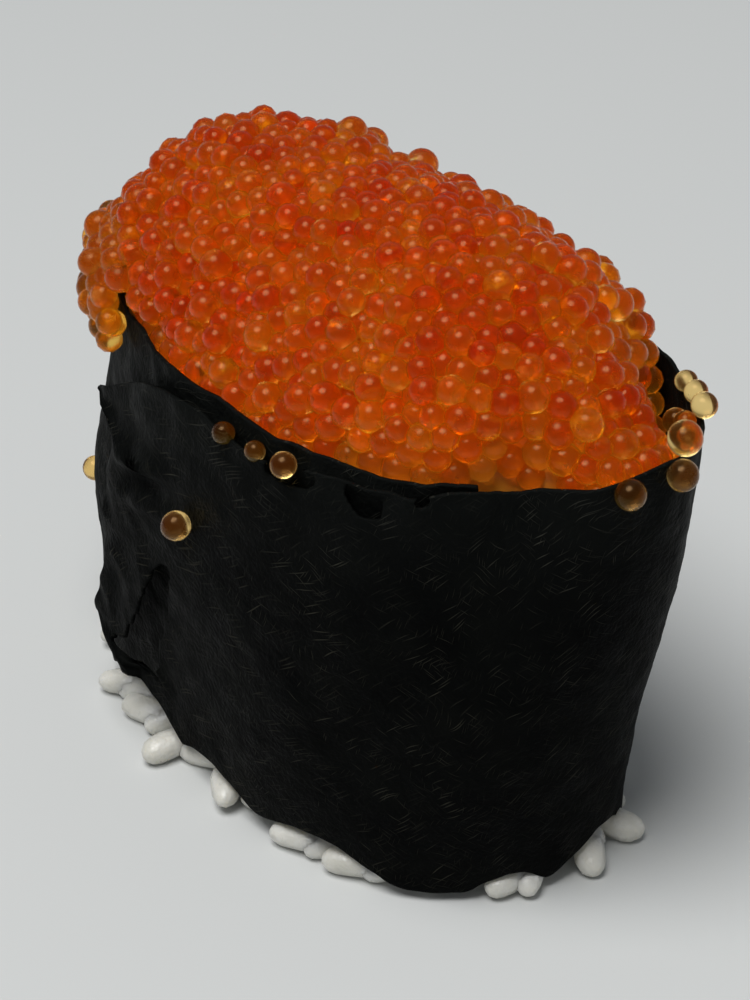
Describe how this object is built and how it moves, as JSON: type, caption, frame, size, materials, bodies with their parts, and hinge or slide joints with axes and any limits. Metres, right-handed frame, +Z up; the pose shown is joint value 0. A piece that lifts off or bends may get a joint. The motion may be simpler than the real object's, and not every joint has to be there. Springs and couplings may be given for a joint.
{
  "type": "gunkan sushi",
  "caption": "Gunkan sushi: an oval block of rice wrapped in a strip of nori that stands above it as a cup, heaped with small orange fish roe.",
  "frame": {"origin": "middle of the underside of the whole piece's box, where it rests on its rice", "axes": "+Z up, +X along the oval towards the end away from the torn flap of nori, +Y across the oval away from the lap of the strip"},
  "size_m": [0.0564, 0.033, 0.045],
  "materials": {
    "rice": "cooked rice, moist and faintly glossy, greyish white and a little translucent",
    "nori": "dried seaweed sheet, semi-matte, nearly black with a green cast and fine fibres",
    "roe": "wet, glossy and translucent, orange inside the heap and clear amber at its edge"
  },
  "bodies": {
    "root": {"rice": "rice", "nori_wrap": "nori", "roe_heap": "roe"}
  },
  "joints": []
}
